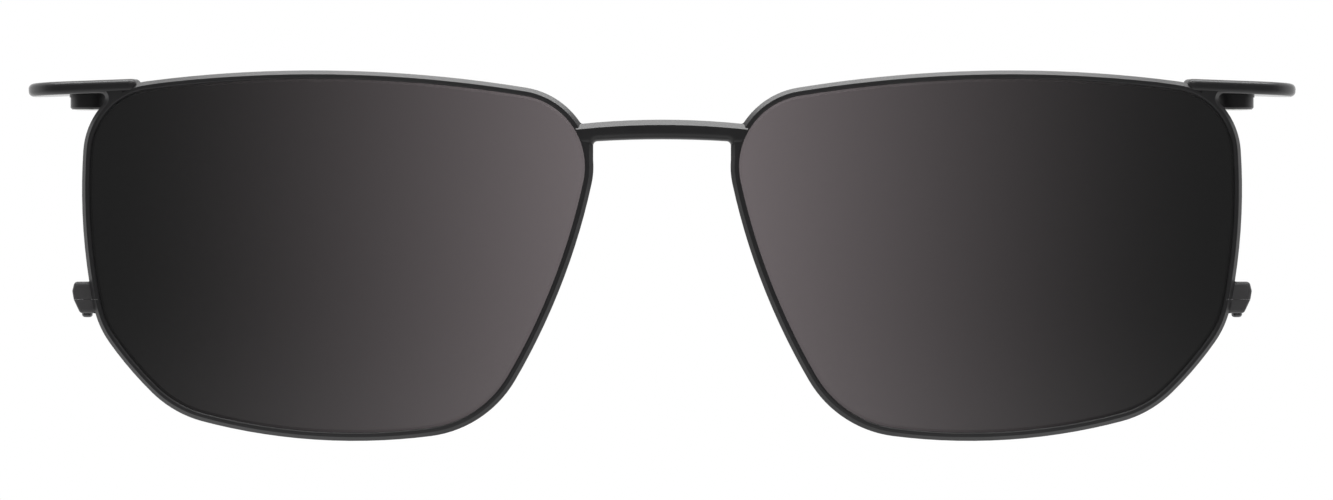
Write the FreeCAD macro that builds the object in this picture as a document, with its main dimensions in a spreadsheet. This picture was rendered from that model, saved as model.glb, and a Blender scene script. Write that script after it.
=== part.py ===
import FreeCAD, Part
import math
import os

import Sketcher

# Magnetic sun clip for a pair of glasses, in millimetres.
# +X is to the viewer's right, +Y is towards the wearer, +Z is up.
# The origin is the middle of the flat back of the bridge bar.
# Each piece is drawn on the right side (x > 0), and the left one is its mirror image.

V = FreeCAD.Vector
AXIS_X = V(1, 0, 0)
AXIS_Y = V(0, 1, 0)
AXIS_Z = V(0, 0, 1)

# Points nearer than this are taken as one
CLOSE = 0.001

# Rounds in which the web and the sloping arm above it are fitted to each other
WEB_STEPS = 6

# Driving dimensions: alias, value, what it measures
DIMENSIONS = [
    ("curve_radius", 130.0, "sphere that the front of each rim lies on"),
    ("curve_x", 22.7, "sphere centre, sideways from the mid-plane"),
    ("curve_z", -13.8, "sphere centre, height"),
    ("curve_front", -3.04, "foremost point of that sphere"),
    ("rim_width", 0.95, "rim wire, seen from the front"),
    ("rim_depth", 1.6, "rim wire, front to back"),
    ("rim_bevel", 0.45, "bevel round the rim's outer front edge"),
    ("rim_edge", 0.2, "rounding of the rim's inner front edge"),
    ("rim_back_edge", 0.2, "rounding of the rim's back edges"),
    ("rim_gap", 0.02, "slit where a rim opens for its lens, drawn tight"),
    ("lap_depth", 0.45, "how deep bridge and arms are let into the rim"),
    ("lap_lip", 0.16, "rim left uncovered inside the end of the bridge"),
    ("groove_depth", 0.4, "how far the lens edge sits in the rim"),
    ("lens_recess", 0.3, "lens front behind the rim front"),
    ("lens_thickness", 1.1, "lens, front to back"),
    ("lens_bevel", 0.7, "bevel round the front edge of the lens"),
    ("lens_back_bevel", 0.3, "bevel round the back edge of the lens"),
    ("nasal_top_x", 6.45, "outline corner"),
    ("nasal_top_z", 3.2, "outline corner"),
    ("nasal_foot_x", 19.62, "outline corner"),
    ("nasal_foot_z", -32.83, "outline corner"),
    ("cheek_foot_x", 54.45, "outline corner"),
    ("cheek_foot_z", -31.48, "outline corner"),
    ("temple_foot_x", 63.3, "outline corner"),
    ("temple_foot_z", -21.6, "outline corner"),
    ("temple_top_x", 64.29, "outline corner"),
    ("temple_top_z", 4.8, "outline corner"),
    ("nasal_edge", 74.0, "radius of the outline's nasal side"),
    ("bottom_edge", 69.0, "radius of the outline's bottom"),
    ("cheek_edge", 42.0, "radius of the outline's slanted lower corner"),
    ("temple_edge", 68.0, "radius of the outline's temporal side"),
    ("top_edge", 154.0, "radius of the outline's top"),
    ("nasal_top_round", 8.9, "corner radius"),
    ("nasal_foot_round", 12.75, "corner radius"),
    ("cheek_foot_round", 12.75, "corner radius"),
    ("temple_foot_round", 10.5, "corner radius"),
    ("temple_top_round", 8.25, "corner radius"),
    ("bridge_depth", 1.75, "bridge bar, front to back"),
    ("bridge_top", 1.28, "top edge of the bridge bar at the mid-plane"),
    ("bridge_bottom", -0.9, "lower edge of the bar at the mid-plane"),
    ("bridge_arch", 119.0, "radius of the bar's lower edge"),
    ("bridge_crown", 88.0, "radius of the bar's top edge"),
    ("bridge_reach", 11.6, "half the bar's length before it is trimmed"),
    ("gusset_x", 7.65, "where the bar's underside runs into the rim"),
    ("gusset_round", 0.5, "radius between the bar and the rim"),
    ("gusset_top", -1.2, "top of the solder that fills the corner below the bar"),
    ("gusset_foot", -4.3, "where that solder runs out along the rim"),
    ("bridge_bevel", 0.6, "bevel along the bar's upper front edge"),
    ("bridge_edge", 0.8, "rounding of the bar's lower front edge"),
    ("arm_thickness", 1.48, "magnet arm, underside to top"),
    ("arm_underside", 4.53, "height of the arm's underside at its inner end"),
    ("arm_root_x", 59.1, "inner end of the arm, on top of the rim"),
    ("arm_root_y", 3.42, "front of the arm at its inner end"),
    ("arm_root_depth", 2.2, "arm, front to back, at its inner end"),
    ("arm_slope", 16.0, "angle of the arm's front edge in plan, degrees"),
    ("arm_bend", 6.5, "radius of the arm's outer corner in plan"),
    ("arm_reach", 72.0, "half the overall width of the clip"),
    ("arm_tip", 2.0, "radius of the arm's rear tip in plan"),
    ("arm_root_round", 0.7, "rounding of the arm's inner end in plan"),
    ("arm_edge", 0.6, "rounding of the arm's edges"),
    ("arm_droop", 1.5, "angle by which the arm falls outwards, degrees"),
    ("web_round", 0.67, "radius between the arm's underside and the rim"),
    ("web_front", 2.0, "front of the block that the web is cut from"),
    ("web_back", 5.8, "back of the web between arm and rim"),
    ("web_root_x", 60.5, "inner limit of that web, inside the rim's outline"),
    ("web_sink", 0.6, "how far the web runs up into the arm"),
    ("pad_radius", 2.9, "round pad of the arm over the magnet"),
    ("magnet_x", 64.65, "magnet axis, sideways"),
    ("magnet_y", 9.4, "magnet axis, front to back"),
    ("cup_top", 4.4, "height of the arm's underside at the magnet axis"),
    ("cup_sink", 0.2, "how far the cup runs up before the arm trims it"),
    ("collar_radius", 2.42, "collar under the arm, above the cup"),
    ("collar_height", 0.35, "collar under the arm, above the cup"),
    ("cup_radius", 2.32, "magnet cup"),
    ("cup_height", 1.35, "magnet cup"),
    ("cup_edge", 0.2, "bevel round the mouth of the cup"),
    ("magnet_radius", 1.75, "disc magnet"),
    ("magnet_height", 1.0, "disc magnet"),
    ("magnet_proud", 0.05, "magnet face, proud of the mouth of the cup"),
    ("magnet_edge", 0.12, "bevel round the magnet"),
    ("block_inner_x", 63.6, "closing block, inner side"),
    ("block_outer_x", 66.08, "closing block, outer side where its halves meet"),
    ("block_crown_x", 66.24, "closing block, outer side where it bulges most"),
    ("block_crown_z", -17.8, "height at which the block bulges most"),
    ("block_shoulder_x", 65.98, "closing block, outer side at its top"),
    ("block_heel_x", 65.35, "closing block, outer side at its bottom"),
    ("block_front_y", 4.4, "closing block, front"),
    ("block_depth", 2.7, "closing block, front to back"),
    ("block_top_z", -16.75, "closing block, top"),
    ("block_split_z", -18.75, "where the two halves meet"),
    ("block_bottom_z", -20.3, "closing block, bottom"),
    ("block_corner", 0.45, "rounding of the block's outer corners"),
    ("block_edge", 0.45, "rounding of the block's edges"),
    ("screw_x", 64.68, "screw axis, sideways"),
    ("screw_y", 6.05, "screw axis, front to back"),
    ("screw_radius", 0.45, "shank of the closing screw"),
    ("screw_play", 0.05, "clearance round the shank in the lower half"),
    ("head_radius", 0.6, "head of the closing screw"),
    ("head_height", 0.46, "head of the closing screw, below the block"),
    ("head_round", 0.34, "rounding of the head"),
    ("screw_short", 0.15, "screw end below the top of the block"),
    ("screw_point", 0.15, "bevel at the screw's end"),
    ("slot_width", 0.24, "screwdriver slot"),
    ("slot_depth", 0.22, "screwdriver slot"),
    ("cut_front", 8.0, "how far cutting blocks reach forwards"),
    ("cut_back", 20.0, "how far cutting blocks reach backwards"),
    ("cut_side", 80.0, "how far cutting blocks reach sideways, up and down"),
    ("overrun", 1.0, "how far holes and slots run past what they cut"),
]

# Outline corners in order, each with the side that follows it, anticlockwise from the front
CORNERS = ["nasal_top", "nasal_foot", "cheek_foot", "temple_foot", "temple_top"]
SIDES = ["nasal", "bottom", "cheek", "temple", "top"]

doc = FreeCAD.newDocument("sun_clip")
sheet = doc.addObject("Spreadsheet::Sheet", "sizes")
for row, (alias, value, note) in enumerate(DIMENSIONS, start=1):
    sheet.set(f"A{row}", alias)
    sheet.set(f"B{row}", str(value))
    sheet.set(f"C{row}", note)
    sheet.setAlias(f"B{row}", alias)
doc.recompute()


def size(alias):
    """Returns a driving dimension from the sheet."""
    return float(sheet.get(alias))


def bind(item, **expressions):
    """Ties properties of an object to expressions on the sheet's aliases."""
    for name, expression in expressions.items():
        item.setExpression(name.replace("__", "."), expression)


def place(item, x="0", y="0", z="0"):
    """Ties an object's position to expressions on the sheet's aliases."""
    bind(item, Placement__Base__x=x, Placement__Base__y=y, Placement__Base__z=z)


def dimension(sketch, kind, references, value, expression):
    """Adds a dimension to a sketch and ties it to the sheet."""
    index = sketch.addConstraint(Sketcher.Constraint(kind, *references, value))
    sketch.setExpression(f"Constraints[{index}]", expression)


def locate(sketch, geometry, point, x=None, y=None):
    """Fixes a sketch point from the sketch's origin, by expressions on the sheet."""
    here = sketch.getPoint(geometry, point)
    if x:
        dimension(sketch, "DistanceX", (-1, 1, geometry, point), here.x, x)
    if y:
        dimension(sketch, "DistanceY", (-1, 1, geometry, point), here.y, y)


def arc(centre, start, end):
    """Returns the anticlockwise arc about a centre from one point to another."""
    radius = (start - centre).Length
    first = math.atan2(start.y - centre.y, start.x - centre.x)
    last = math.atan2(end.y - centre.y, end.x - centre.x)
    return Part.ArcOfCircle(Part.Circle(centre, AXIS_Z, radius), first, last)


def towards(centre, point, distance):
    """Returns the point at a distance from a centre, in the direction of another point."""
    return centre + (point - centre).normalize() * distance


def centre_of_side(start, end, radius):
    """Returns the centre of the anticlockwise arc of a radius between two points."""
    half = (end - start) / 2
    inward = V(-half.y, half.x, 0).normalize()
    return start + half + inward * math.sqrt(radius ** 2 - half.Length ** 2)


def circles_meet(first, first_radius, second, second_radius, near):
    """Returns the point that two circles share, the one nearest to a given point."""
    span = second - first
    along = (span.Length ** 2 + first_radius ** 2 - second_radius ** 2) / (2 * span.Length)
    aside = math.sqrt(first_radius ** 2 - along ** 2)
    ahead = span.normalize()
    across = V(-ahead.y, ahead.x, 0)
    points = [first + ahead * along + across * side * aside for side in (-1, 1)]
    return min(points, key=lambda point: (point - near).Length)


# Outline of the rim, five bowed sides joined by five rounded corners
def draw_outline():
    sketch = doc.addObject("Sketcher::SketchObject", "rim_outline")
    sketch.Placement = FreeCAD.Placement(V(), FreeCAD.Rotation(AXIS_X, 90))
    count = len(CORNERS)
    corners = [V(size(f"{name}_x"), size(f"{name}_z"), 0) for name in CORNERS]
    bows = [size(f"{name}_edge") for name in SIDES]
    rounds = [size(f"{name}_round") for name in CORNERS]
    centres = []
    for index in range(count):
        end = corners[(index + 1) % count]
        centres.append(centre_of_side(corners[index], end, bows[index]))
    pivots = []
    for index in range(count):
        before = bows[index - 1] - rounds[index]
        after = bows[index] - rounds[index]
        pivot = circles_meet(centres[index - 1], before, centres[index], after, corners[index])
        pivots.append(pivot)
    for index in range(count):
        arrive = towards(centres[index - 1], pivots[index], bows[index - 1])
        leave = towards(centres[index], pivots[index], bows[index])
        reach = towards(centres[index], pivots[(index + 1) % count], bows[index])
        sketch.addGeometry(arc(pivots[index], arrive, leave), False)
        sketch.addGeometry(arc(centres[index], leave, reach), False)
    for index in range(2 * count):
        following = (index + 1) % (2 * count)
        sketch.addConstraint(Sketcher.Constraint("Tangent", index, 2, following, 1))
    for index in range(count):
        corner_arc = 2 * index
        side_arc = corner_arc + 1
        side_before = (corner_arc - 1) % (2 * count)
        name = CORNERS[index]
        dimension(sketch, "Radius", (corner_arc,), rounds[index], f"sizes.{name}_round")
        dimension(sketch, "Radius", (side_arc,), bows[index], f"sizes.{SIDES[index]}_edge")
        mark = sketch.addGeometry(Part.Point(corners[index]), True)
        sketch.addConstraint(Sketcher.Constraint("PointOnObject", mark, 1, side_before))
        sketch.addConstraint(Sketcher.Constraint("PointOnObject", mark, 1, side_arc))
        locate(sketch, mark, 1, f"sizes.{name}_x", f"sizes.{name}_z")
    return sketch


def offset_outline(name, outline, inset):
    """Returns the outline drawn in by an inset, as a wire."""
    offset = doc.addObject("Part::Offset2D", name)
    offset.Source = outline
    bind(offset, Value=f"-({inset})")
    return offset


def prism(name, outline):
    """Returns a block with the outline as its front view, long enough for every cut."""
    block = doc.addObject("Part::Extrusion", name)
    block.Base = outline
    block.DirMode = "Custom"
    block.Dir = AXIS_Y
    bind(block, LengthFwd="sizes.cut_back", LengthRev="sizes.cut_front")
    block.Solid = True
    return block


def ball(name, inset):
    """Returns the sphere of the rim fronts, smaller by an inset."""
    sphere = doc.addObject("Part::Sphere", name)
    bind(sphere, Radius=f"sizes.curve_radius - ({inset})")
    place(sphere, "sizes.curve_x", "sizes.curve_front + sizes.curve_radius", "sizes.curve_z")
    return sphere


def box(name, low, high):
    """Returns a box between two corners given as expressions."""
    block = doc.addObject("Part::Box", name)
    place(block, *low)
    spans = [f"({top}) - ({bottom})" for bottom, top in zip(low, high)]
    bind(block, Length=spans[0], Width=spans[1], Height=spans[2])
    return block


def cylinder(name, x, y, low, high, radius):
    """Returns an upright cylinder given by expressions."""
    pin = doc.addObject("Part::Cylinder", name)
    place(pin, x, y, low)
    bind(pin, Radius=radius, Height=f"({high}) - ({low})")
    return pin


def cut(name, base, *tools):
    """Returns a solid less one or more others."""
    result = doc.addObject("Part::Cut", name)
    result.Base = base
    result.Tool = tools[0] if len(tools) == 1 else fuse(f"{name}_cutter", *tools)
    return result


def common(name, first, second):
    """Returns what two solids share."""
    result = doc.addObject("Part::Common", name)
    result.Base = first
    result.Tool = second
    return result


def fuse(name, *solids):
    """Returns several solids as one."""
    result = doc.addObject("Part::MultiFuse", name)
    result.Shapes = list(solids)
    return result


def round_edges(name, base, choose, kind="Part::Fillet"):
    """Returns a solid with the edges that choose gives a radius rounded or bevelled."""
    doc.recompute()
    result = doc.addObject(kind, name)
    result.Base = base
    chosen = []
    for number, edge in enumerate(base.Shape.Edges, start=1):
        radius = choose(edge)
        if radius:
            chosen.append((number, radius, radius))
    result.Edges = chosen
    return result


def on_sphere(edge, radius):
    """Tells whether an edge lies on the sphere of the rim fronts, with a given radius."""
    centre = V(size("curve_x"), size("curve_front") + size("curve_radius"), size("curve_z"))
    ends = [edge.valueAt(edge.FirstParameter), edge.valueAt(edge.LastParameter)]
    return all(abs((point - centre).Length - radius) < CLOSE for point in ends)


def touches(edge, solid):
    """Tells whether the middle of an edge lies in or on a solid."""
    middle = edge.valueAt((edge.FirstParameter + edge.LastParameter) / 2)
    return solid.Shape.distToShape(Part.Vertex(middle))[0] < CLOSE


# Lens, a curved plate with its edges bevelled to sit in the groove
def make_lens(outline):
    edge_line = offset_outline("lens_outline", outline, "sizes.rim_width - sizes.groove_depth")
    wall = prism("lens_prism", edge_line)
    front = ball("lens_front", "sizes.lens_recess")
    back = ball("lens_back", "sizes.lens_recess + sizes.lens_thickness")
    blank = common("lens_blank", wall, cut("lens_shell", front, back))
    outer = size("curve_radius") - size("lens_recess")
    inner = outer - size("lens_thickness")

    def bevel(edge):
        if on_sphere(edge, outer):
            return size("lens_bevel")
        return size("lens_back_bevel") if on_sphere(edge, inner) else 0

    return round_edges("lens", blank, bevel, "Part::Chamfer")


# Rim, a wire ring on the front sphere, still whole and without groove and notches
def make_rim_ring(outline, window):
    ring = cut("rim_band", prism("rim_block", outline), window)
    shell = cut("rim_shell", ball("rim_front", "0"), ball("rim_back", "sizes.rim_depth"))
    blank = common("rim_blank", ring, shell)
    front = size("curve_radius")
    back = front - size("rim_depth")

    def outer_bevel(edge):
        outer = on_sphere(edge, front) and not touches(edge, window)
        return size("rim_bevel") if outer else 0

    def edge_round(edge):
        if on_sphere(edge, front) and touches(edge, window):
            return size("rim_edge")
        return size("rim_back_edge") if on_sphere(edge, back) else 0

    bevelled = round_edges("rim_bevelled", blank, outer_bevel, "Part::Chamfer")
    return round_edges("rim_ring", bevelled, edge_round)


def new_sketch(body, role, name, lift="0"):
    """Starts a sketch on one of the body's own planes, raised by an expression."""
    sketch = body.newObject("Sketcher::SketchObject", name)
    plane = next(item for item in body.Origin.OriginFeatures if item.Role == role)
    sketch.AttachmentSupport = [(plane, "")]
    sketch.MapMode = "FlatFace"
    bind(sketch, AttachmentOffset__Base__z=lift)
    return sketch


def join(sketch, smooth=()):
    """Joins each edge of a closed outline to the next, tangent after those listed."""
    count = sketch.GeometryCount
    for index in range(count):
        following = (index + 1) % count
        ends = [(a, b) for a in (1, 2) for b in (1, 2)]
        reach = {pair: gap(sketch, index, following, pair) for pair in ends}
        here, there = min(reach, key=reach.get)
        kind = "Tangent" if index in smooth else "Coincident"
        sketch.addConstraint(Sketcher.Constraint(kind, index, here, following, there))


def gap(sketch, first, second, pair):
    """Returns the distance between an end of one edge and an end of another."""
    return (sketch.getPoint(first, pair[0]) - sketch.getPoint(second, pair[1])).Length


def draw_profile(sketch, points):
    """Draws a closed outline through points given as pairs of expressions."""
    places = [V(float(sheet.evalExpression(x)), float(sheet.evalExpression(y)), 0) for x, y in points]
    count = len(points)
    for index in range(count):
        sketch.addGeometry(Part.LineSegment(places[index], places[(index + 1) % count]), False)
    join(sketch)
    for index, (x, y) in enumerate(points):
        if x == "0":
            sketch.addConstraint(Sketcher.Constraint("PointOnObject", index, 1, -2))
        if y == "0":
            sketch.addConstraint(Sketcher.Constraint("PointOnObject", index, 1, -1))
        locate(sketch, index, 1, x if x != "0" else None, y if y != "0" else None)


def extrude(body, name, sketch, length):
    """Adds a pad of a sketch, its length an expression."""
    solid = body.newObject("PartDesign::Pad", name)
    solid.Profile = sketch
    bind(solid, Length=length)
    return solid


def turn(body, name, sketch):
    """Adds a full turn of a sketch about its upright axis."""
    solid = body.newObject("PartDesign::Revolution", name)
    solid.Profile = sketch
    solid.ReferenceAxis = (sketch, ["V_Axis"])
    solid.Angle = 360
    return solid


def soften(body, name, base, choose, **extent):
    """Rounds or bevels the edges of a feature that choose accepts, by a Radius or Size expression."""
    doc.recompute()
    edges = enumerate(base.Shape.Edges, start=1)
    kind = "Fillet" if "Radius" in extent else "Chamfer"
    result = body.newObject(f"PartDesign::{kind}", name)
    result.Base = (base, [f"Edge{number}" for number, edge in edges if choose(edge)])
    bind(result, **extent)
    return result


def lies_at(edge, axis, value):
    """Tells whether both ends of an edge have a coordinate of a given value."""
    ends = [vertex.Point for vertex in edge.Vertexes]
    return all(abs(getattr(point, axis) - value) < CLOSE for point in ends)


# Bridge bar, both edges arched and the lower one run out into the rims, before it is fitted to them
def make_bridge_bar():
    body = doc.addObject("PartDesign::Body", "bridge_bar")
    sketch = new_sketch(body, "XZ_Plane", "bridge_front_view")
    reach = size("bridge_reach")
    wall = size("gusset_x")
    crown = V(0, size("bridge_top") - size("bridge_crown"), 0)
    crest = V(0, size("bridge_top"), 0)
    shoulder = V(reach, crown.y + math.sqrt(size("bridge_crown") ** 2 - reach ** 2), 0)
    arch = V(0, size("bridge_bottom") - size("bridge_arch"), 0)
    span = size("bridge_arch") - size("gusset_round")
    hollow_x = wall - size("gusset_round")
    foot = arch.y + math.sqrt(span ** 2 - hollow_x ** 2)
    hollow = V(hollow_x, foot, 0)
    touch = towards(arch, hollow, size("bridge_arch"))
    middle = V(0, size("bridge_bottom"), 0)
    lower = [V(wall, foot, 0), V(reach, foot, 0), shoulder]
    sketch.addGeometry(arc(crown, shoulder, crest), False)
    sketch.addGeometry(Part.LineSegment(crest, middle), False)
    sketch.addGeometry(arc(arch, touch, middle), False)
    sketch.addGeometry(arc(hollow, lower[0], touch), False)
    for start, end in zip(lower, lower[1:]):
        sketch.addGeometry(Part.LineSegment(start, end), False)
    crown_arc, middle_line, arch_arc, gusset_arc, foot_line, end_line = range(6)
    join(sketch, smooth=(arch_arc,))
    sketch.addConstraint(Sketcher.Constraint("Horizontal", foot_line))
    for line in (middle_line, end_line):
        sketch.addConstraint(Sketcher.Constraint("Vertical", line))
    sketch.addConstraint(Sketcher.Constraint("PointOnObject", crown_arc, 3, -2))
    sketch.addConstraint(Sketcher.Constraint("PointOnObject", crown_arc, 2, -2))
    sketch.addConstraint(Sketcher.Constraint("PointOnObject", arch_arc, 3, -2))
    sketch.addConstraint(Sketcher.Constraint("Horizontal", gusset_arc, 3, gusset_arc, 1))
    locate(sketch, middle_line, 1, None, "sizes.bridge_top")
    locate(sketch, middle_line, 2, None, "sizes.bridge_bottom")
    locate(sketch, foot_line, 1, "sizes.gusset_x")
    locate(sketch, foot_line, 2, "sizes.bridge_reach")
    dimension(sketch, "Radius", (crown_arc,), size("bridge_crown"), "sizes.bridge_crown")
    dimension(sketch, "Radius", (arch_arc,), size("bridge_arch"), "sizes.bridge_arch")
    dimension(sketch, "Radius", (gusset_arc,), size("gusset_round"), "sizes.gusset_round")
    half = extrude(body, "bridge_half", sketch, "sizes.bridge_depth")
    doc.recompute()
    whole = body.newObject("PartDesign::Mirrored", "bridge_whole")
    whole.Originals = [half]
    plane = next(item for item in body.Origin.OriginFeatures if item.Role == "YZ_Plane")
    whole.MirrorPlane = (plane, [""])
    body.Tip = whole
    front = -size("bridge_depth")

    def upper_edge(edge):
        return lies_at(edge, "y", front) and min(vertex.Z for vertex in edge.Vertexes) > 0

    def lower_edge(edge):
        return lies_at(edge, "y", front) and max(vertex.Z for vertex in edge.Vertexes) < 0

    bevelled = soften(body, "bridge_bevelled", whole, upper_edge, Size="sizes.bridge_bevel")
    body.Tip = soften(body, "bridge_rounded", bevelled, lower_edge, Radius="sizes.bridge_edge")
    return body


# Magnet arm, a flat plate that reaches back over the side of the glasses
def make_arm_plate():
    body = doc.addObject("PartDesign::Body", "arm_plate")
    sketch = new_sketch(body, "XY_Plane", "arm_plan", "sizes.arm_underside")
    slope = math.radians(size("arm_slope"))
    along = V(math.cos(slope), math.sin(slope), 0)
    back = V(-along.y, along.x, 0)
    root = V(size("arm_root_x"), size("arm_root_y"), 0)
    heel = root + back * size("arm_root_depth")
    bend_x = size("arm_reach") - size("arm_bend")
    bend_start = root + along * ((bend_x + size("arm_bend") * along.y - root.x) / along.x)
    bend = bend_start + back * size("arm_bend")
    side = bend + V(size("arm_bend"), 0, 0)
    tip = side - V(size("arm_tip"), 0, 0)
    pad = V(size("magnet_x"), size("magnet_y"), 0)
    leave_tip, meet_pad = outer_tangent(tip, size("arm_tip"), pad, size("pad_radius"))
    leave_pad, _ = outer_tangent(pad, size("pad_radius"), heel, 0)
    edges = [
        Part.LineSegment(root, bend_start),
        arc(bend, bend_start, side),
        arc(tip, side, leave_tip),
        Part.LineSegment(leave_tip, meet_pad),
        arc(pad, meet_pad, leave_pad),
        Part.LineSegment(leave_pad, heel),
        Part.LineSegment(heel, root),
    ]
    for edge in edges:
        sketch.addGeometry(edge, False)
    front_line, bend_arc, tip_arc, rear_line, pad_arc, inner_line, end_line = range(len(edges))
    join(sketch, smooth=(front_line, bend_arc, tip_arc, rear_line, pad_arc))
    sketch.addConstraint(Sketcher.Constraint("Perpendicular", end_line, front_line))
    sketch.addConstraint(Sketcher.Constraint("Horizontal", bend_arc, 3, bend_arc, 2))
    dimension(sketch, "Angle", (front_line,), slope, "sizes.arm_slope * 1 deg")
    dimension(sketch, "Distance", (end_line,), size("arm_root_depth"), "sizes.arm_root_depth")
    dimension(sketch, "Radius", (bend_arc,), size("arm_bend"), "sizes.arm_bend")
    dimension(sketch, "Radius", (tip_arc,), size("arm_tip"), "sizes.arm_tip")
    dimension(sketch, "Radius", (pad_arc,), size("pad_radius"), "sizes.pad_radius")
    locate(sketch, front_line, 1, "sizes.arm_root_x", "sizes.arm_root_y")
    locate(sketch, bend_arc, 2, "sizes.arm_reach")
    locate(sketch, pad_arc, 3, "sizes.magnet_x", "sizes.magnet_y")
    blank = extrude(body, "arm_blank", sketch, "sizes.arm_thickness")

    def inner_corner(edge):
        upright = abs(edge.BoundBox.ZLength - size("arm_thickness")) < CLOSE
        place_in_plan = edge.Vertexes[0].Point
        corners = [(place_in_plan.x - end.x, place_in_plan.y - end.y) for end in (root, heel)]
        return upright and min(math.hypot(*corner) for corner in corners) < CLOSE

    plate = soften(body, "arm_root_rounded", blank, inner_corner, Radius="sizes.arm_root_round")
    underside = size("arm_underside")
    top = underside + size("arm_thickness")

    def rim_of_plate(edge):
        return lies_at(edge, "z", top) or lies_at(edge, "z", underside)

    body.Tip = soften(body, "arm_rounded", plate, rim_of_plate, Radius="sizes.arm_edge")
    body.Placement.Rotation = FreeCAD.Rotation(AXIS_Y, size("arm_droop"))
    bind(body, Placement__Rotation__Angle="sizes.arm_droop * 1 deg")
    rise, fall = "sin(sizes.arm_droop * 1 deg)", "(1 - cos(sizes.arm_droop * 1 deg))"
    x = f"sizes.arm_root_x * {fall} - sizes.arm_underside * {rise}"
    z = f"sizes.arm_root_x * {rise} + sizes.arm_underside * {fall}"
    place(body, x, "0", z)
    return body


def outer_tangent(first, first_radius, second, second_radius):
    """Returns the ends of the line that touches two circles on the right of the way between them."""
    span = second - first
    ahead = V(span).normalize()
    lean = (first_radius - second_radius) / span.Length
    normal = ahead * lean + V(ahead.y, -ahead.x, 0) * math.sqrt(1 - lean ** 2)
    return first + normal * first_radius, second + normal * second_radius


# Web that fills the narrow corner between the arm's underside and the rim, bevelled as the rim is
def make_web(ring, wire_core):
    doc.recompute()
    corner = doc.getObject("rim_outline").Geometry[2 * CORNERS.index("temple_top")]
    pivot = corner.Center
    droop = math.radians(size("arm_droop"))
    reach = size("temple_top_round") + size("web_round")
    hollow_x = pivot.x + reach
    for _ in range(WEB_STEPS):
        underside = size("arm_underside") - (hollow_x - size("arm_root_x")) * math.tan(droop)
        rise = underside - size("web_round") - pivot.y
        hollow_x = pivot.x + math.sqrt(reach ** 2 - rise ** 2)
    lean = math.degrees(math.asin(rise / reach))
    fan = doc.addObject("Part::Box", "web_fan")
    place(fan, f"{pivot.x}", "-sizes.cut_front", f"{pivot.y}")
    fan.Placement.Rotation = FreeCAD.Rotation(AXIS_Y, -lean)
    bind(fan, Length="sizes.cut_side", Width="sizes.cut_front + sizes.cut_back", Height="sizes.cut_side")
    low = ("sizes.web_root_x", "sizes.web_front", f"{pivot.y}")
    high = (f"{hollow_x}", "sizes.web_back", f"{underside} + sizes.web_sink")
    block = common("web_block", box("web_box", low, high), fan)
    hollow = doc.addObject("Part::Cylinder", "web_hollow")
    place(hollow, f"{hollow_x}", "sizes.cut_back", f"{underside} - sizes.web_round")
    hollow.Placement.Rotation = FreeCAD.Rotation(AXIS_X, 90)
    bind(hollow, Radius="sizes.web_round", Height="sizes.cut_back + sizes.cut_front")
    hollowed = cut("web_hollowed", block, hollow)
    blank = common("web_blank", hollowed, doc.getObject("rim_front"))

    def front_bevel(edge):
        front = on_sphere(edge, size("curve_radius")) and touches(edge, hollow)
        return size("rim_bevel") if front else 0

    bevelled = round_edges("web_bevelled", blank, front_bevel, "Part::Chamfer")
    return cut("web", bevelled, ring, wire_core)


# Solder that fills the corner between the bar and the side of the rim, bevelled as the rim is
def make_gusset(ring, wire_core):
    low = ("sizes.gusset_x", "-sizes.cut_front", "sizes.gusset_foot")
    high = ("sizes.bridge_reach", "-sizes.rim_back_edge", "sizes.gusset_top")
    blank = common("gusset_blank", box("gusset_box", low, high), doc.getObject("rim_front"))

    def front_bevel(edge):
        front = on_sphere(edge, size("curve_radius")) and lies_at(edge, "x", size("gusset_x"))
        return size("rim_bevel") if front else 0

    bevelled = round_edges("gusset_bevelled", blank, front_bevel, "Part::Chamfer")
    return cut("gusset", bevelled, ring, wire_core)


# Magnet cup, turned, with a collar against the arm and a pocket that opens downwards
def make_cup():
    body = doc.addObject("PartDesign::Body", "cup")
    sketch = new_sketch(body, "XZ_Plane", "cup_section")
    mouth = "-sizes.collar_height - sizes.cup_height"
    seat = f"{mouth} - sizes.magnet_proud + sizes.magnet_height"
    draw_profile(sketch, [
        ("0", "sizes.cup_sink"),
        ("sizes.collar_radius", "sizes.cup_sink"),
        ("sizes.collar_radius", "-sizes.collar_height"),
        ("sizes.cup_radius", "-sizes.collar_height"),
        ("sizes.cup_radius", f"{mouth} + sizes.cup_edge"),
        ("sizes.cup_radius - sizes.cup_edge", mouth),
        ("sizes.magnet_radius", mouth),
        ("sizes.magnet_radius", seat),
        ("0", seat),
    ])
    turn(body, "cup_turned", sketch)
    place(body, "sizes.magnet_x", "sizes.magnet_y", "sizes.cup_top")
    return body


# Disc magnet, pressed into the cup with its bevelled face down
def make_magnet():
    body = doc.addObject("PartDesign::Body", "disc")
    sketch = new_sketch(body, "XZ_Plane", "disc_section")
    face = "-sizes.collar_height - sizes.cup_height - sizes.magnet_proud"
    draw_profile(sketch, [
        ("0", f"{face} + sizes.magnet_height"),
        ("sizes.magnet_radius", f"{face} + sizes.magnet_height"),
        ("sizes.magnet_radius", f"{face} + sizes.magnet_edge"),
        ("sizes.magnet_radius - sizes.magnet_edge", face),
        ("0", face),
    ])
    turn(body, "disc_turned", sketch)
    place(body, "sizes.magnet_x", "sizes.magnet_y", "sizes.cup_top")
    return body


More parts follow.
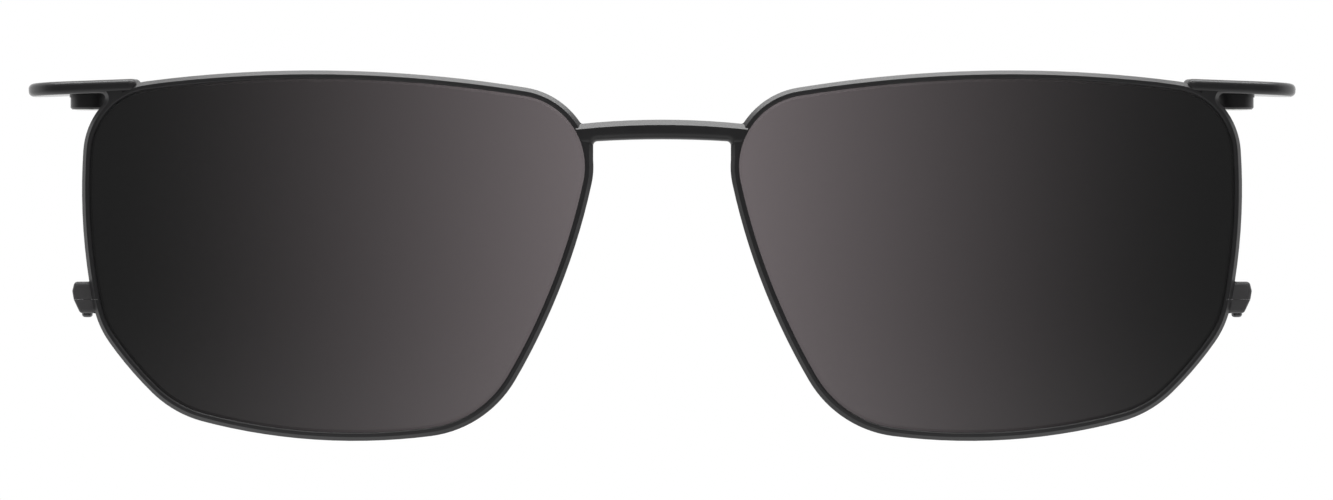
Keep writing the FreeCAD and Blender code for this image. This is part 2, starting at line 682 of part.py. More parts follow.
# Half of the block that closes a rim, from the height of the slit to its far end, with its outer corners
def make_block_half(name, near, far, corners):
    body = doc.addObject("PartDesign::Body", name)
    back = "sizes.block_front_y + sizes.block_depth"
    sketch = new_sketch(body, "XZ_Plane", f"{name}_front_view", f"-({back})")
    draw_profile(sketch, [
        ("sizes.block_inner_x", near),
        ("sizes.block_outer_x", near),
        *corners,
        ("sizes.block_inner_x", far),
    ])
    blank = extrude(body, f"{name}_blank", sketch, "sizes.block_depth")
    inner = size("block_inner_x")
    split = float(sheet.evalExpression(near))
    places = [tuple(float(sheet.evalExpression(term)) for term in corner) for corner in corners]

    def outer_corner(edge):
        return any(lies_at(edge, "x", x) and lies_at(edge, "z", z) for x, z in places)

    def face_edge(edge):
        level = lies_at(edge, "y", edge.Vertexes[0].Y)
        return level and not lies_at(edge, "x", inner) and not lies_at(edge, "z", split)

    cornered = soften(body, f"{name}_cornered", blank, outer_corner, Radius="sizes.block_corner")
    body.Tip = soften(body, f"{name}_rounded", cornered, face_edge, Radius="sizes.block_edge")
    return body


# Closing screw, its rounded and slotted head below the block, its shank up through both halves
def make_screw():
    body = doc.addObject("PartDesign::Body", "screw_turned")
    sketch = new_sketch(body, "XZ_Plane", "screw_section")
    end = "sizes.block_top_z - sizes.block_bottom_z - sizes.screw_short"
    draw_profile(sketch, [
        ("0", "-sizes.head_height"),
        ("sizes.head_radius", "-sizes.head_height"),
        ("sizes.head_radius", "0"),
        ("sizes.screw_radius", "0"),
        ("sizes.screw_radius", f"{end} - sizes.screw_point"),
        ("sizes.screw_radius - sizes.screw_point", end),
        ("0", end),
    ])
    blank = turn(body, "screw_blank", sketch)
    face = -size("head_height")

    def head_edge(edge):
        return lies_at(edge, "z", face)

    body.Tip = soften(body, "screw_rounded", blank, head_edge, Radius="sizes.head_round")
    place(body, "sizes.screw_x", "sizes.screw_y", "sizes.block_bottom_z")
    left, right = (f"sizes.screw_x {sign} sizes.head_radius" for sign in "-+")
    near, far = (f"sizes.screw_y {sign} sizes.slot_width / 2" for sign in "-+")
    low = (left, near, "sizes.block_bottom_z - sizes.head_height - sizes.overrun")
    high = (right, far, "sizes.block_bottom_z - sizes.head_height + sizes.slot_depth")
    return cut("screw", body, box("screw_slot", low, high))


def mirror(name, item):
    """Returns the mirror image of a solid in the mid-plane."""
    image = doc.addObject("Part::Mirroring", name)
    image.Source = item
    image.Normal = AXIS_X
    return image


def screw_hole(name, radius):
    """Returns the space of the closing screw, past the block's top and bottom."""
    low = "sizes.block_bottom_z - sizes.overrun"
    high = "sizes.block_top_z + sizes.overrun"
    return cylinder(name, "sizes.screw_x", "sizes.screw_y", low, high, radius)


outline = draw_outline()
doc.recompute()
window = prism("window", offset_outline("window_outline", outline, "sizes.rim_width"))
lens = make_lens(outline)
ring = make_rim_ring(outline, window)
bar = make_bridge_bar()
plate = make_arm_plate()
screw = make_screw()

# Front skin of the rims, the depth that the bridge and the arms are let in
skin = cut(
    "skin",
    box(
        "skin_block",
        ("0", "-sizes.cut_front", "-sizes.cut_side"),
        ("sizes.cut_side", "sizes.cut_back", "sizes.cut_side"),
    ),
    ball("skin_floor", "sizes.lap_depth"),
)
rim_block = doc.getObject("rim_block")
lap_line = offset_outline("lap_outline", outline, "sizes.rim_width - sizes.lap_lip")
lap_band = cut("lap_band", rim_block, prism("lap_window", lap_line))
bar_lap = common("bar_lap", common("bar_front", bar, skin), lap_band)
arm_lap = common("arm_lap", plate, skin)
slit = box(
    "slit",
    ("sizes.block_inner_x - 2 * sizes.overrun", "0", "sizes.block_split_z - sizes.rim_gap / 2"),
    ("sizes.block_outer_x + sizes.overrun", "sizes.cut_back", "sizes.block_split_z + sizes.rim_gap / 2"),
)
rim = cut("rim", ring, lens, bar_lap, arm_lap, slit)
bar_between = cut("bar_between", bar, rim_block, mirror("rim_block_left", rim_block))
lap = cut("lap", bar_lap, lens)
wire_core = prism("wire_core", offset_outline("core_outline", outline, "sizes.rim_width / 2"))
gusset = make_gusset(ring, wire_core)
bridge = fuse("bridge", bar_between, lap, gusset, mirror("lap_left", lap), mirror("gusset_left", gusset))
arm = cut("arm", fuse("arm_and_web", plate, make_web(ring, wire_core)), rim, window, lens)
slit_top = "sizes.block_split_z + sizes.rim_gap / 2"
slit_foot = "sizes.block_split_z - sizes.rim_gap / 2"
upper_corners = [
    ("sizes.block_crown_x", "sizes.block_crown_z"),
    ("sizes.block_shoulder_x", "sizes.block_top_z"),
]
upper_blank = make_block_half("block_upper", slit_top, "sizes.block_top_z", upper_corners)
lens_wall = doc.getObject("lens_prism")
upper = cut("upper", upper_blank, rim, lens_wall, screw_hole("thread", "sizes.screw_radius"))
lower_corners = [("sizes.block_heel_x", "sizes.block_bottom_z")]
lower_blank = make_block_half("block_lower", slit_foot, "sizes.block_bottom_z", lower_corners)
lower_hole = screw_hole("shank_room", "sizes.screw_radius + sizes.screw_play")
lower = cut("lower", lower_blank, rim, lens_wall, lower_hole)
cup = cut("cup_trimmed", make_cup(), plate)

# Pieces of one side, by the names that they are known by
pieces = {
    "rim": rim,
    "lens": lens,
    "magnet_arm": arm,
    "magnet_cup": cup,
    "magnet": make_magnet(),
    "closing_block_upper": upper,
    "closing_block_lower": lower,
    "closing_screw": screw,
}
bridge.Label = "bridge"
finished = [bridge]
for name, piece in pieces.items():
    piece.Label = f"{name}_right"
    twin = mirror(f"{name}_twin", piece)
    twin.Label = f"{name}_left"
    finished += [piece, twin]
doc.recompute()

for item in doc.Objects:
    faults = {"Invalid", "Error"} & set(item.State)
    if faults:
        raise RuntimeError(f"{item.Label}: {faults}")
os.makedirs("parts", exist_ok=True)
for piece in finished:
    shape = piece.Shape
    if shape.isNull() or not shape.isValid() or len(shape.Solids) != 1:
        raise RuntimeError(f"{piece.Label}: {len(shape.Solids)} solids, valid {shape.isValid()}")
    print(f"{piece.Label}: {shape.Volume:.2f} mm3")
    shape.exportStep(f"parts/{piece.Label}.step")
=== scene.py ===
"""Looks of a magnetic sun clip for glasses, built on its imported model.

Lengths are metres. +X is to the viewer's right, +Y is towards the wearer and +Z is up. The origin
is the middle of the flat back of the bridge bar.
"""

import logging
import math
from dataclasses import dataclass
from enum import Enum
from functools import cache

import bmesh
import bpy
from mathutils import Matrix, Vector
from mathutils.bvhtree import BVHTree


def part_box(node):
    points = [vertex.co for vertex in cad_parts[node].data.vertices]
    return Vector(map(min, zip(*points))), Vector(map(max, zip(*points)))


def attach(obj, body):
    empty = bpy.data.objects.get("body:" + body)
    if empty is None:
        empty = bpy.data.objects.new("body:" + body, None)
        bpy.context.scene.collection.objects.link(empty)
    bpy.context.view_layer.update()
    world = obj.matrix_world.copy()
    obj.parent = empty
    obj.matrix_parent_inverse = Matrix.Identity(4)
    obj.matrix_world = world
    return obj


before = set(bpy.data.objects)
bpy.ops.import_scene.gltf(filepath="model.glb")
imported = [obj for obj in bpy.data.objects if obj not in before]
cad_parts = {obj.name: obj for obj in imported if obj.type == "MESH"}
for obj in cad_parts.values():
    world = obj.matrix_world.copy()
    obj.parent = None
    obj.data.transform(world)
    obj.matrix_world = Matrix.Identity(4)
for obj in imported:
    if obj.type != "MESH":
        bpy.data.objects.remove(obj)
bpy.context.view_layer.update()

Colour = tuple[float, float, float]
Pair = tuple[float, float]
Sockets = dict[str | int, object]

BODY = "root"
MM = 0.001
SHARP_ANGLE = math.radians(40)
DOWN = Vector((0, 0, -1))
WHITE = (1.0, 1.0, 1.0, 1.0)

log = logging.getLogger("sun_clip")


class Side(Enum):
    """The two halves of the clip as the viewer sees them, with the sign of their X."""

    LEFT = -1
    RIGHT = 1

    def node(self, stem: str) -> str:
        """Returns the name of this side's node of a piece."""
        return f"{stem}_{self.name.lower()}"


class Slot(Enum):
    """A material slot of the record; nothing in this script uses it."""

    FRAME_METAL = "frame_metal"


class Shading:
    """The nodes of one material or world, added and wired one at a time."""

    def __init__(self, owner: bpy.types.ID) -> None:
        """Clears the owner's node tree.

        Args:
            owner: The material or world whose nodes these are.
        """
        owner.use_nodes = True
        self.tree = owner.node_tree
        self.tree.nodes.clear()

    def add(self, kind: str, sockets: Sockets | None = None, **settings: object) -> bpy.types.Node:
        """Adds a node.

        Args:
            kind: Blender's name of the node type.
            sockets: What each input holds, a value or the output of another node.
            **settings: Properties of the node itself.

        Returns:
            The new node.
        """
        node = self.tree.nodes.new(kind)
        for name, value in settings.items():
            setattr(node, name, value)
        for name, value in (sockets or {}).items():
            if isinstance(value, bpy.types.NodeSocket):
                self.tree.links.new(value, node.inputs[name])
            else:
                node.inputs[name].default_value = value
        return node

    def math(self, operation: str, *terms: object) -> bpy.types.NodeSocket:
        """Returns the output of a Math node on one to three terms, each a number or an output."""
        return self.add("ShaderNodeMath", dict(enumerate(terms)), operation=operation).outputs[0]

    def place(self) -> bpy.types.NodeSocket:
        """Returns the place on the object, in metres."""
        return self.add("ShaderNodeTexCoord").outputs["Object"]

    def noise(self, size: float, detail: float) -> bpy.types.NodeSocket:
        """Returns noise from 0 to 1 whose features have a given size in metres."""
        sockets = {"Vector": self.place(), "Scale": 1 / size, "Detail": detail}
        return self.add("ShaderNodeTexNoise", sockets).outputs[0]

    def mix(self, share: object, low: Colour, high: Colour) -> bpy.types.NodeSocket:
        """Returns the colour between two, by a share from 0 to 1."""
        node = self.add("ShaderNodeMix", {0: share, 6: (*low, 1), 7: (*high, 1)}, data_type="RGBA")
        return node.outputs[2]

    def blend(self, share: object, low: object, high: object) -> bpy.types.NodeSocket:
        """Returns the number between two, each a number or an output, by a share from 0 to 1."""
        return self.add("ShaderNodeMix", {0: share, 2: low, 3: high}).outputs[0]

    def span(self, value: object, start: float, end: float, **settings: object) -> bpy.types.NodeSocket:
        """Returns how far a value has come from a start to an end, from 0 to 1."""
        sockets = {"Value": value, "From Min": start, "From Max": end}
        return self.add("ShaderNodeMapRange", sockets, **settings).outputs[0]

    def seen(self) -> bpy.types.NodeSocket:
        """Returns 1 for what the eye sees straight or through a lens, and 0 for all else."""
        path = self.add("ShaderNodeLightPath").outputs
        return self.math("MAXIMUM", path["Is Camera Ray"], path["Is Transmission Ray"])

    def mirrored(self) -> bpy.types.NodeSocket:
        """Returns 1 for what is seen in a reflection, and 0 for all else."""
        return self.add("ShaderNodeLightPath").outputs["Is Glossy Ray"]

    def glow(self, level: object) -> bpy.types.NodeSocket:
        """Returns a shader that gives off white light of a level, a number or an output."""
        return self.add("ShaderNodeEmission", {"Color": WHITE, "Strength": level}).outputs[0]

    def layer(self, share: object, low: object, high: object) -> bpy.types.NodeSocket:
        """Returns the shader between two, by a share from 0 to 1."""
        return self.add("ShaderNodeMixShader", {0: share, 1: low, 2: high}).outputs[0]


@dataclass(frozen=True)
class MattCoat:
    """Matt black coat on metal: fine grain, faint clouding, and glossier where seen at a slant.

    Attributes:
        name: The material's name.
        dark: Colour of the darker clouds.
        pale: Colour of the paler clouds.
        roughness: Least and greatest roughness over the grain.
        slant_roughness: Roughness where the coat is seen along its surface.
        slant_power: How late the coat turns glossy as it slants.
        cloud_size: Size of the clouds.
        cloud_detail: Octaves of the clouds.
        grain_size: Size of the grain.
        grain_detail: Octaves of the grain.
        grain_height: Height of the grain.
        grain_strength: Share of that height that shows where the coat is seen square on.
        specular: Strength of the reflection, 0.5 being a plain lacquer's.
    """

    name: str
    dark: Colour
    pale: Colour
    roughness: Pair
    slant_roughness: float = 0.09
    slant_power: float = 4.0
    cloud_size: float = 2.4 * MM
    cloud_detail: float = 3.0
    grain_size: float = 0.09 * MM
    grain_detail: float = 2.0
    grain_height: float = 0.004 * MM
    grain_strength: float = 0.6
    specular: float = 0.7

    @cache
    def material(self) -> bpy.types.Material:
        """Returns the coat as a material."""
        material = bpy.data.materials.new(self.name)
        nodes = Shading(material)
        cloud = nodes.noise(self.cloud_size, self.cloud_detail)
        grain = nodes.noise(self.grain_size, self.grain_detail)
        facing = nodes.add("ShaderNodeLayerWeight", {"Blend": 0.5}).outputs["Facing"]
        slant = nodes.math("POWER", facing, self.slant_power)
        grained = nodes.blend(grain, *self.roughness)
        bump = nodes.add("ShaderNodeBump", {
            "Strength": nodes.blend(slant, self.grain_strength, 0.0),
            "Distance": self.grain_height,
            "Height": grain,
        })
        shader = nodes.add("ShaderNodeBsdfPrincipled", {
            "Base Color": nodes.mix(cloud, self.dark, self.pale),
            "Roughness": nodes.blend(slant, grained, self.slant_roughness),
            "Specular IOR Level": self.specular,
            "Normal": bump.outputs[0],
        })
        nodes.add("ShaderNodeOutputMaterial", {"Surface": shader.outputs[0]})
        return material


@dataclass(frozen=True)
class TurnedMetal:
    """Bare metal with fine rings from the lathe or the plating bath, about an upright axis.

    Attributes:
        name: The material's name.
        colour: The clean metal's colour.
        roughness: Least and greatest roughness over the smears.
        axis: How far aside and how deep the rings' axis is, on both halves of the clip.
        ring_pitch: Distance from ring to ring.
        ring_height: Height of the rings.
        ring_strength: Share of that height that shows.
        smear_size: Size of the smears.
        smear_detail: Octaves of the smears.
        shade: Brightness of the smears, 1 being the clean metal's.
    """

    name: str
    colour: Colour
    roughness: Pair
    axis: Pair
    ring_pitch: float = 0.12 * MM
    ring_height: float = 0.002 * MM
    ring_strength: float = 0.4
    smear_size: float = 0.5 * MM
    smear_detail: float = 4.0
    shade: float = 0.8

    @cache
    def material(self) -> bpy.types.Material:
        """Returns the metal as a material."""
        material = bpy.data.materials.new(self.name)
        nodes = Shading(material)
        smear = nodes.noise(self.smear_size, self.smear_detail)
        bump = nodes.add("ShaderNodeBump", {
            "Strength": self.ring_strength,
            "Distance": self.ring_height,
            "Height": self.rings(nodes),
        })
        shaded = tuple(self.shade * part for part in self.colour)
        shader = nodes.add("ShaderNodeBsdfPrincipled", {
            "Base Color": nodes.mix(smear, shaded, self.colour),
            "Metallic": 1.0,
            "Roughness": nodes.blend(smear, *self.roughness),
            "Normal": bump.outputs[0],
        })
        nodes.add("ShaderNodeOutputMaterial", {"Surface": shader.outputs[0]})
        return material

    def rings(self, nodes: Shading) -> bpy.types.NodeSocket:
        """Returns the height of the rings round the axis, a sine of the distance from it."""
        parts = nodes.add("ShaderNodeSeparateXYZ", {0: nodes.place()}).outputs
        across = nodes.math("SUBTRACT", nodes.math("ABSOLUTE", parts[0]), self.axis[0])
        deep = nodes.math("SUBTRACT", parts[1], self.axis[1])
        squares = nodes.math("ADD", nodes.math("POWER", across, 2.0), nodes.math("POWER", deep, 2.0))
        turns = nodes.math("MULTIPLY", nodes.math("SQRT", squares), math.tau / self.ring_pitch)
        return nodes.math("SINE", turns)


@dataclass(frozen=True)
class SunLens:
    """Polished clear sun lens, brown-grey beside the nose and almost black towards the temple; the paler
    colour beside the nose is painted light.

    Attributes:
        name: The material's name.
        nose: Colour beside the nose, made paler as painted light.
        temple: Tint towards the temple.
        nose_x: Distance from the mid-plane up to which the colour is the nose's.
        temple_x: Distance from the mid-plane from which it is the temple's.
        falloff: How fast the nose's colour gives way to the temple's.
        roughness: Roughness of the polish.
        index: Refractive index of the plastic.
    """

    name: str
    nose: Colour
    temple: Colour
    nose_x: float
    temple_x: float
    falloff: float
    roughness: float = 0.02
    index: float = 1.5

    @cache
    def material(self) -> bpy.types.Material:
        """Returns the lens as a material."""
        material = bpy.data.materials.new(self.name)
        nodes = Shading(material)
        aside = nodes.math("ABSOLUTE", nodes.add("ShaderNodeSeparateXYZ", {0: nodes.place()}).outputs[0])
        # The paler colour beside the nose is painted light over the lens's dark tinted plastic.
        reach = nodes.span(aside, self.temple_x, self.nose_x)
        shader = nodes.add("ShaderNodeBsdfPrincipled", {
            "Base Color": nodes.mix(nodes.math("POWER", reach, self.falloff), self.temple, self.nose),
            "Roughness": self.roughness,
            "IOR": self.index,
            "Transmission Weight": 1.0,
        })
        nodes.add("ShaderNodeOutputMaterial", {"Surface": shader.outputs[0]})
        return material


def dress(name: str, material: bpy.types.Material) -> None:
    """Gives a CAD node a material.

    Args:
        name: The node.
        material: What it is finished with.
    """
    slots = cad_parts[name].data.materials
    slots.clear()
    slots.append(material)
    log.info("dressed %s with %s", name, material.name)


def axis_of(name: str) -> Pair:
    """Returns how far aside and how deep the upright axis of a round CAD node is."""
    low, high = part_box(name)
    return abs(low[0] + high[0]) / 2, (low[1] + high[1]) / 2


class Feeler:
    """Finds where a CAD node's surface is, by lines through it."""

    def __init__(self, name: str) -> None:
        """Takes up the node's mesh.

        Args:
            name: The node.
        """
        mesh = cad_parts[name].data
        points = [vertex.co for vertex in mesh.vertices]
        faces = [tuple(face.vertices) for face in mesh.polygons]
        self.tree = BVHTree.FromPolygons(points, faces)

    def touch(self, start: Vector, direction: Vector) -> Vector:
        """Returns the first point of the surface on a line.

        Args:
            start: Where the line starts.
            direction: Where it goes.

        Returns:
            The point that it meets.

        Raises:
            ValueError: The line misses the node.
        """
        point = self.tree.ray_cast(start, direction)[0]
        if point is None:
            raise ValueError(f"nothing to touch from {start[:]} along {direction[:]}")
        return point


@dataclass
class Seam:
    """Hollow run of solder under the coat, in the corner where two pieces meet along Y.

    Attributes:
        name: The piece's name.
        corner: A point of the corner.
        along_first: Direction from the corner along the first piece, of length 1.
        along_second: Direction from the corner along the second piece, of length 1.
        depth: Y of the seam's two ends.
        leg: How far the solder reaches along each piece.
        sink: How far it is sunk into the corner.
        steps: Number of straight steps in the hollow side of its section.
        stations: Number of sections along it.
        end_share: Size of its end sections, 1 being the middle's.
    """

    name: str
    corner: Vector
    along_first: Vector
    along_second: Vector
    depth: Pair
    leg: float = 0.26 * MM
    sink: float = 0.06 * MM
    steps: int = 8
    stations: int = 9
    end_share: float = 0.55

    def outline(self, share: float) -> list[Vector]:
        """Returns the seam's section at its corner, drawn in to a share of its size.

        Args:
            share: 1 for the full section.

        Returns:
            Points round the section, the hollow side first.
        """
        points = []
        for step in range(self.steps + 1):
            part = step / self.steps
            first = self.along_first * (1 - part) ** 2
            second = self.along_second * part ** 2
            points.append(self.corner + (first + second) * self.leg * share)
        points.append(self.corner - (self.along_first + self.along_second) * self.sink)
        return points

    def build(self, material: bpy.types.Material) -> bpy.types.Object:
        """Makes the seam, fullest in the middle of its length, and sets it on the body.

        Args:
            material: The coat over it.

        Returns:
            The new piece.
        """
        mesh = bmesh.new()
        loops = []
        for station in range(self.stations):
            part = station / (self.stations - 1)
            bulge = 1 - (1 - self.end_share) * (2 * part - 1) ** 2
            y = self.depth[0] + (self.depth[1] - self.depth[0]) * part
            ring = [mesh.verts.new((point.x, y, point.z)) for point in self.outline(bulge)]
            loops.append([mesh.edges.new(pair) for pair in zip(ring, ring[1:] + ring[:1])])
        for near, far in zip(loops, loops[1:]):
            bmesh.ops.bridge_loops(mesh, edges=near + far)
        for end in (loops[0], loops[-1]):
            bmesh.ops.contextual_create(mesh, geom=end)
        bmesh.ops.recalc_face_normals(mesh, faces=mesh.faces)
        return settle(self.name, mesh, material)


def settle(name: str, mesh: bmesh.types.BMesh, material: bpy.types.Material) -> bpy.types.Object:
    """Turns a finished mesh into a piece that rides on the clip.

    Args:
        name: The piece's name.
        mesh: Its mesh, in its place.
        material: Its finish.

    Returns:
        The new piece.
    """
    data = bpy.data.meshes.new(name)
    mesh.to_mesh(data)
    mesh.free()
    data.shade_smooth()
    data.set_sharp_from_angle(angle=SHARP_ANGLE)
    data.materials.append(material)
    piece = bpy.data.objects.new(name, data)
    bpy.context.scene.collection.objects.link(piece)
    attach(piece, BODY)
    log.info("built %s", name)
    return piece


@dataclass
class Front:
    """The two rims and the bridge bar between them, soldered and coated black.

    Attributes:
        coat: The finish of all of it.
        seam_depth: Y of the front and back ends of the solder above the bar.
        feel: How far from a corner its two sides are felt for.
        rounds: How often the search for a corner closes in on it.
    """

    coat: MattCoat
    seam_depth: Pair = (-1.12 * MM, -0.2 * MM)
    feel: float = 0.3 * MM
    rounds: int = 4

    def build(self) -> None:
        """Adds the solder above each end of the bar."""
        for side in Side:
            self.bridge_seam(side).build(self.coat.material())

    def bridge_seam(self, side: Side) -> Seam:
        """Finds the corner between the bar's top and a rim, for the solder in it.

        Args:
            side: Which end of the bar.

        Returns:
            The seam there.
        """
        rim = Feeler(side.node("rim"))
        bar = Feeler("bridge")
        aside = Vector((side.value, 0, 0))
        y = sum(self.seam_depth) / 2
        bar_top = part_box("bridge")[1][2]
        above = Vector((0, y, 2 * bar_top))
        reach = aside * min(abs(corner[0]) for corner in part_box(side.node("rim")))
        for _ in range(self.rounds):
            inner = bar.touch(above + reach - aside * self.feel, DOWN)
            wall = rim.touch(Vector((0, y, inner.z)), aside)
            reach = aside * abs(wall.x)
        higher = rim.touch(Vector((0, y, wall.z + self.feel)), aside)
        return Seam(
            name=side.node("solder_bridge"),
            corner=wall,
            along_first=(higher - wall).normalized(),
            along_second=(inner - wall).normalized(),
            depth=self.seam_depth,
        )

    def dress(self) -> None:
        """Coats the bar and the rims."""
        for name in ("bridge", *(side.node("rim") for side in Side)):
            dress(name, self.coat.material())


@dataclass
class Lens:
    """A sun lens in its rim."""

    side: Side
    tint_and_painted_light: SunLens

    def dress(self) -> None:
        """Gives the lens its colour, paler beside the nose as painted light."""
        dress(self.side.node("lens"), self.tint_and_painted_light.material())


@dataclass
class SideArm:
    """The arm that reaches back over the glasses, with the cup and the magnet under it."""

    side: Side
    coat: MattCoat
    # The cup's coat is a darker copy of the arm's coat: painted shade.
    cup_coat_painted_shade: MattCoat
    plating: TurnedMetal

    def dress(self) -> None:
        """Coats the arm and the cup and plates the magnet."""
        dress(self.side.node("magnet_arm"), self.coat.material())
        dress(self.side.node("magnet_cup"), self.cup_coat_painted_shade.material())
        dress(self.side.node("magnet"), self.plating.material())


@dataclass
class ClosingBlock:
    """The two halves of the block that closes a rim, and the screw that draws them together.

    Attributes:
        side: Which rim it closes.
        coat: The finish of its halves and of the solder, paler than the frame's coat as painted light.
        steel: The finish of its screw.
        seam_depth: Y of the front and back ends of the solder.
        feel: How far from a corner the rim is felt for.
        clear_x: A distance from the mid-plane that is clear of the clip.
    """

    side: Side
    coat: MattCoat
    steel: TurnedMetal
    seam_depth: Pair = (4.5 * MM, 5.4 * MM)
    feel: float = 0.3 * MM
    clear_x: float = 80 * MM

    def build(self) -> None:
        """Adds the solder above and below the block, where it meets the rim."""
        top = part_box(self.side.node("closing_block_upper"))[1][2]
        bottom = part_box(self.side.node("closing_block_lower"))[0][2]
        self.seam("solder_block_upper", top, 1).build(self.coat.material())
        self.seam("solder_block_lower", bottom, -1).build(self.coat.material())

    def seam(self, stem: str, height: float, way: int) -> Seam:
        """Finds the corner between the rim and the top or bottom of the block, for its solder.

        Args:
            stem: The seam's name without its side.
            height: Where the block ends.
            way: 1 above the block, -1 below it.

        Returns:
            The seam there.
        """
        rim = Feeler(self.side.node("rim"))
        aside = Vector((self.side.value, 0, 0))
        y = sum(self.seam_depth) / 2
        outside = aside * self.clear_x
        wall = rim.touch(outside + Vector((0, y, height)), -aside)
        past = rim.touch(outside + Vector((0, y, height + way * self.feel)), -aside)
        return Seam(
            name=self.side.node(stem),
            corner=wall,
            along_first=(past - wall).normalized(),
            along_second=aside,
            depth=self.seam_depth,
        )

    def dress(self) -> None:
        """Coats both halves and leaves the screw bare."""
        dress(self.side.node("closing_block_upper"), self.coat.material())
        dress(self.side.node("closing_block_lower"), self.coat.material())
        dress(self.side.node("closing_screw"), self.steel.material())


@dataclass(frozen=True)
class Lamp:
    """Soft rectangular lamp that faces the clip.

    Attributes:
        name: The lamp's name.
        place: Its middle.
        size: Its extent sideways and the other way.
        power: Its power in watts.
    """

    name: str
    place: Vector
    size: Pair
    power: float

    def build(self, target: Vector) -> None:
        """Hangs the lamp.

        Args:
            target: What it is aimed at.
        """
        data = bpy.data.lights.new(self.name, "AREA")
        data.shape = "RECTANGLE"
        data.size, data.size_y = self.size
        data.energy = self.power
        lamp = bpy.data.objects.new(self.name, data)
        lamp.location = self.place
        lamp.rotation_euler = (target - self.place).to_track_quat("-Z", "Y").to_euler()
        bpy.context.scene.collection.objects.link(lamp)


LAMPS = (
    Lamp(name="top", place=Vector((0, 0.02, 0.5)), size=(0.9, 0.24), power=3.7),
    Lamp(name="fill", place=Vector((0, -0.55, 0.65)), size=(0.8, 0.4), power=1.6),
)


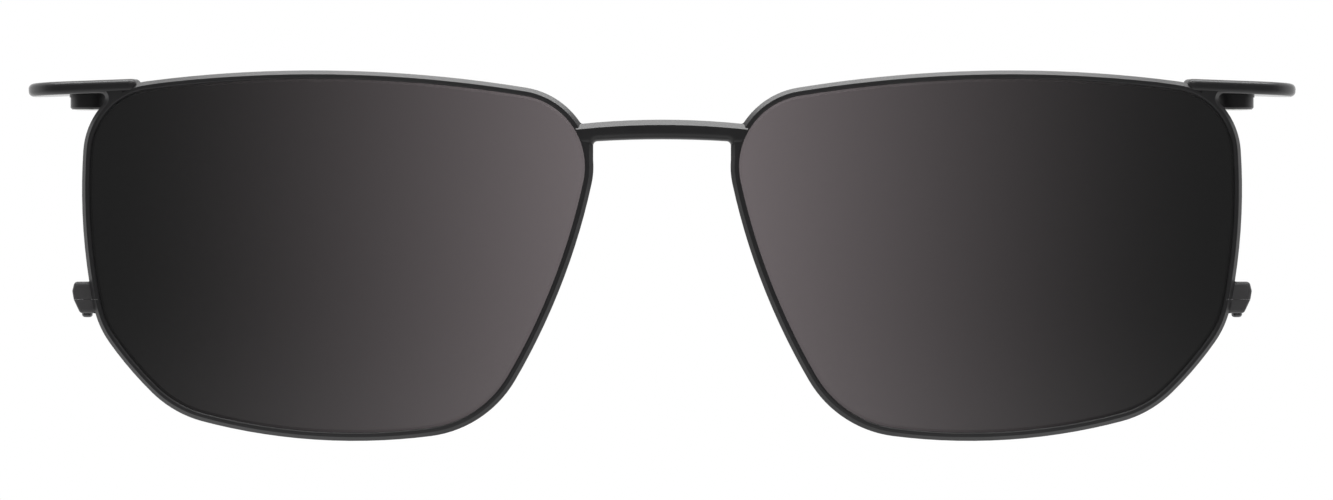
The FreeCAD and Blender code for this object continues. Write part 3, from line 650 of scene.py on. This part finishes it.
@dataclass
class Studio:
    """Pale floor, white surroundings, soft lamps and the camera.

    Attributes:
        floor_drop: Depth of the floor below the origin.
        floor_size: Length of its sides.
        floor_colour: Its colour near the clip.
        near: Distance from its middle within which it takes the clip's shadow.
        far: Distance from its middle beyond which it is plain white.
        lift: Light added to it near the clip, so that only the shadow is darker than white.
        camera_x: The camera's place sideways.
        camera_z: The camera's height, close to that of the clip's middle.
        camera_distance: Distance from the camera to the bridge's plane.
        view_width: Width of the picture in that plane.
        sensor: Width of the camera's sensor in millimetres.
        clip_start: Distance from which the camera sees.
        ambient: Level of the surroundings as a light.
        front: Level on the camera's side of the clip, seen in a reflection.
        table: Level that a pale table adds to it, most of it halfway between level and straight down.
        back: Level behind the clip, seen in a reflection.
        turn: Sine of half the angle over which the front gives way to the back.
    """

    floor_drop: float = 0.10
    floor_size: float = 20.0
    floor_colour: tuple[float, float, float, float] = (0.8, 0.8, 0.8, 1.0)
    near: float = 0.3
    far: float = 0.8
    lift: float = 0.3
    camera_x: float = 0.5 * MM
    camera_z: float = -13.2 * MM
    camera_distance: float = 0.55
    view_width: float = 148.4 * MM
    sensor: float = 36.0
    clip_start: float = 10 * MM
    ambient: float = 0.5
    front: float = 0.07
    table: float = 0.5
    back: float = 0.9
    turn: float = 0.3

    def build(self) -> None:
        """Makes everything that isn't part of the clip."""
        self.world()
        self.floor()
        for lamp in LAMPS:
            lamp.build(Vector((0, 0, self.camera_z)))
        self.camera()
        bpy.context.scene.view_settings.view_transform = "Standard"

    def surround(self, nodes: Shading, direction: bpy.types.NodeSocket) -> bpy.types.NodeSocket:
        """Returns how bright the surroundings are in a reflection.

        Args:
            nodes: The nodes of the world or the floor.
            direction: Where the reflected ray goes, of length 1.

        Returns:
            The level: low on the camera's side of the clip, but for the table there, high behind it.
        """
        parts = nodes.add("ShaderNodeSeparateXYZ", {0: direction}).outputs
        down = nodes.math("MAXIMUM", nodes.math("MULTIPLY", parts[2], -1.0), 0.0)
        glow = nodes.math("SINE", nodes.math("MULTIPLY", nodes.math("POWER", down, 2.0), math.pi))
        ahead = nodes.math("MULTIPLY_ADD", glow, self.table, self.front)
        behind = nodes.span(parts[1], -self.turn, self.turn, interpolation_type="SMOOTHSTEP")
        return nodes.blend(behind, ahead, self.back)

    def world(self) -> None:
        """White all round for the eye and through the lenses, dimmer as a light."""
        world = bpy.data.worlds.new("studio")
        bpy.context.scene.world = world
        nodes = Shading(world)
        wrap = self.surround(nodes, nodes.add("ShaderNodeTexCoord").outputs["Generated"])
        lighting = nodes.blend(nodes.mirrored(), self.ambient, wrap)
        level = nodes.blend(nodes.seen(), lighting, 1.0)
        light = nodes.add("ShaderNodeBackground", {"Color": WHITE, "Strength": level})
        nodes.add("ShaderNodeOutputWorld", {"Surface": light.outputs[0]})

    def floor(self) -> None:
        """A wide pale floor that shows white and keeps the clip's shadow near it."""
        bpy.ops.mesh.primitive_plane_add(size=self.floor_size, location=(0, 0, -self.floor_drop))
        floor = bpy.context.object
        floor.name = "floor"
        floor.data.materials.append(self.floor_material())

    def floor_material(self) -> bpy.types.Material:
        """Returns the floor's finish, pale to the eye and like the surroundings in a reflection."""
        material = bpy.data.materials.new("pale_floor")
        nodes = Shading(material)
        place = nodes.place()
        drop = (0, 0, -self.floor_drop)
        below = nodes.add("ShaderNodeVectorMath", {0: place, 1: drop}, operation="ADD").outputs[0]
        towards = nodes.add("ShaderNodeVectorMath", {0: below}, operation="NORMALIZE").outputs[0]
        pale = nodes.add("ShaderNodeBsdfDiffuse", {"Color": self.floor_colour}).outputs[0]
        lighting = nodes.layer(nodes.mirrored(), pale, nodes.glow(self.surround(nodes, towards)))
        lit = nodes.add("ShaderNodeAddShader", {0: pale, 1: nodes.glow(self.lift)}).outputs[0]
        away = nodes.add("ShaderNodeVectorMath", {0: place}, operation="LENGTH").outputs["Value"]
        shown = nodes.layer(nodes.span(away, self.near, self.far), lit, nodes.glow(1.0))
        whole = nodes.layer(nodes.seen(), lighting, shown)
        nodes.add("ShaderNodeOutputMaterial", {"Surface": whole})
        return material

    def camera(self) -> None:
        """The photograph's viewpoint: level, square on, half a metre in front."""
        data = bpy.data.cameras.new("camera")
        data.sensor_width = self.sensor
        data.lens = self.sensor * self.camera_distance / self.view_width
        data.clip_start = self.clip_start
        camera = bpy.data.objects.new("camera", data)
        camera.location = (self.camera_x, -self.camera_distance, self.camera_z)
        camera.rotation_euler = (math.pi / 2, 0, 0)
        bpy.context.scene.collection.objects.link(camera)
        bpy.context.scene.camera = camera


def main() -> None:
    """Builds the clip's looks and the studio."""
    logging.basicConfig(level=logging.INFO, format="%(name)s: %(message)s")
    coat = MattCoat(
        "matt_black_coat",
        dark=(0.011, 0.011, 0.012),
        pale=(0.019, 0.018, 0.019),
        roughness=(0.3, 0.42),
    )
    # Painted light: the closing blocks' coat is paler than the frame's, standing in for the light their
    # faces catch; it is also rougher.
    block_coat_painted_light = MattCoat(
        "dull_black_coat_painted_light",
        dark=(0.034, 0.033, 0.034),
        pale=(0.048, 0.046, 0.048),
        roughness=(0.45, 0.55),
    )
    # Painted shade: the cup's coat is darker than the arm's, standing in for the shade the cup sits in
    # under the arm.
    cup_coat_painted_shade = MattCoat(
        "matt_black_cup_coat",
        dark=(0.010, 0.009, 0.010),
        pale=(0.016, 0.015, 0.016),
        roughness=(0.35, 0.48),
    )
    plating = TurnedMetal(
        "nickel_plating",
        colour=(0.62, 0.62, 0.6),
        roughness=(0.18, 0.32),
        axis=axis_of("magnet_right"),
    )
    steel = TurnedMetal(
        "dark_satin_steel",
        colour=(0.16, 0.16, 0.165),
        roughness=(0.3, 0.45),
        axis=axis_of("closing_screw_right"),
    )
    # Painted light: the lens is paler beside the nose than towards the temple, standing in for the light
    # seen through it there.
    tint_and_painted_light = SunLens(
        "sun_lens_with_painted_light",
        nose=(0.150, 0.131, 0.136),
        temple=(0.0125, 0.0125, 0.0125),
        nose_x=9 * MM,
        temple_x=64 * MM,
        falloff=1.9,
    )
    front = Front(coat)
    front.build()
    front.dress()
    for side in Side:
        Lens(side, tint_and_painted_light).dress()
        SideArm(side, coat, cup_coat_painted_shade, plating).dress()
        block = ClosingBlock(side, block_coat_painted_light, steel)
        block.build()
        block.dress()
    Studio().build()


if __name__ == "__main__":
    main()
